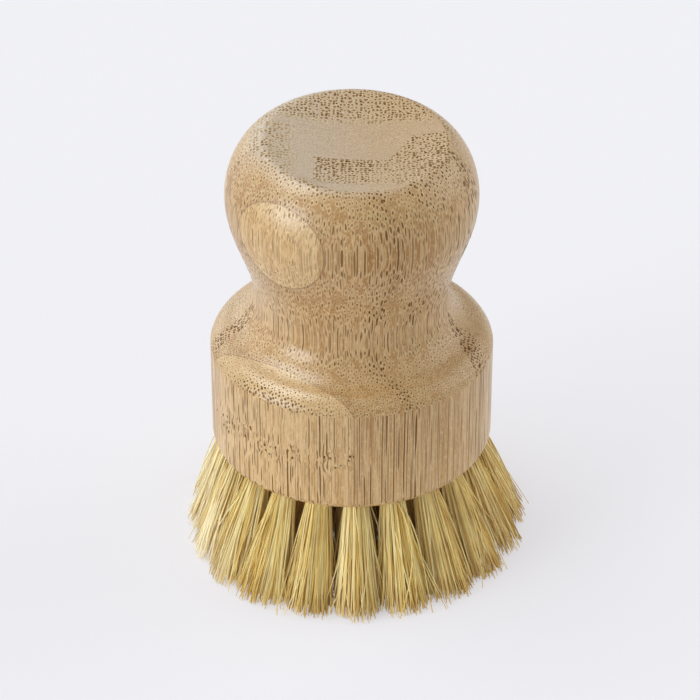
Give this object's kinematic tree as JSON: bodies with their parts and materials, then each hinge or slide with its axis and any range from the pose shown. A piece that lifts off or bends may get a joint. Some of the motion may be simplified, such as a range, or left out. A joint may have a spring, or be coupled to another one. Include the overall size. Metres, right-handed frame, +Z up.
{
  "type": "pot brush",
  "caption": "Palm pot brush: a turned bamboo block with a round knob, a narrow neck for the fingers and splayed tufts of stiff plant fibre underneath.",
  "frame": {"origin": "on the floor under the middle of the brush, in the plane of the trimmed bristle tips", "axes": "+Z up along the turned block's axis, from the bristle tips to the dish in the knob; -Y is the side that the picture looks from, and +X is its right"},
  "size_m": [0.0688, 0.0688, 0.0897],
  "materials": {
    "bamboo": "turned, sanded and oiled, satin",
    "fibre": "stiff pale plant fibre, trimmed flat",
    "anchor_wire": "flat drawn wire"
  },
  "bodies": {
    "root": {"handle": "bamboo", "tuft_centre": "fibre", "tuft_inner_01": "fibre", "tuft_inner_02": "fibre", "tuft_inner_03": "fibre", "tuft_inner_04": "fibre", "tuft_inner_05": "fibre", "tuft_inner_06": "fibre", "tuft_middle_01": "fibre", "tuft_middle_02": "fibre", "tuft_middle_03": "fibre", "tuft_middle_04": "fibre", "tuft_middle_05": "fibre", "tuft_middle_06": "fibre", "tuft_middle_07": "fibre", "tuft_middle_08": "fibre", "tuft_middle_09": "fibre", "tuft_middle_10": "fibre", "tuft_middle_11": "fibre", "tuft_middle_12": "fibre", "tuft_outer_01": "fibre", "tuft_outer_02": "fibre", "tuft_outer_03": "fibre", "tuft_outer_04": "fibre", "tuft_outer_05": "fibre", "tuft_outer_06": "fibre", "tuft_outer_07": "fibre", "tuft_outer_08": "fibre", "tuft_outer_09": "fibre", "tuft_outer_10": "fibre", "tuft_outer_11": "fibre", "tuft_outer_12": "fibre", "tuft_outer_13": "fibre", "tuft_outer_14": "fibre", "tuft_outer_15": "fibre", "tuft_outer_16": "fibre", "tuft_outer_17": "fibre", "tuft_outer_18": "fibre", "tuft_outer_19": "fibre", "tuft_outer_20": "fibre", "anchor_outer_01": "anchor_wire", "anchor_outer_02": "anchor_wire", "anchor_outer_03": "anchor_wire", "anchor_outer_04": "anchor_wire", "anchor_outer_05": "anchor_wire", "anchor_outer_06": "anchor_wire", "anchor_outer_07": "anchor_wire", "anchor_outer_08": "anchor_wire", "anchor_outer_09": "anchor_wire", "anchor_outer_10": "anchor_wire", "anchor_outer_11": "anchor_wire", "anchor_outer_12": "anchor_wire", "anchor_outer_13": "anchor_wire", "anchor_outer_14": "anchor_wire", "anchor_outer_15": "anchor_wire", "anchor_outer_16": "anchor_wire", "anchor_outer_17": "anchor_wire", "anchor_outer_18": "anchor_wire", "anchor_outer_19": "anchor_wire", "anchor_outer_20": "anchor_wire"}
  },
  "joints": []
}
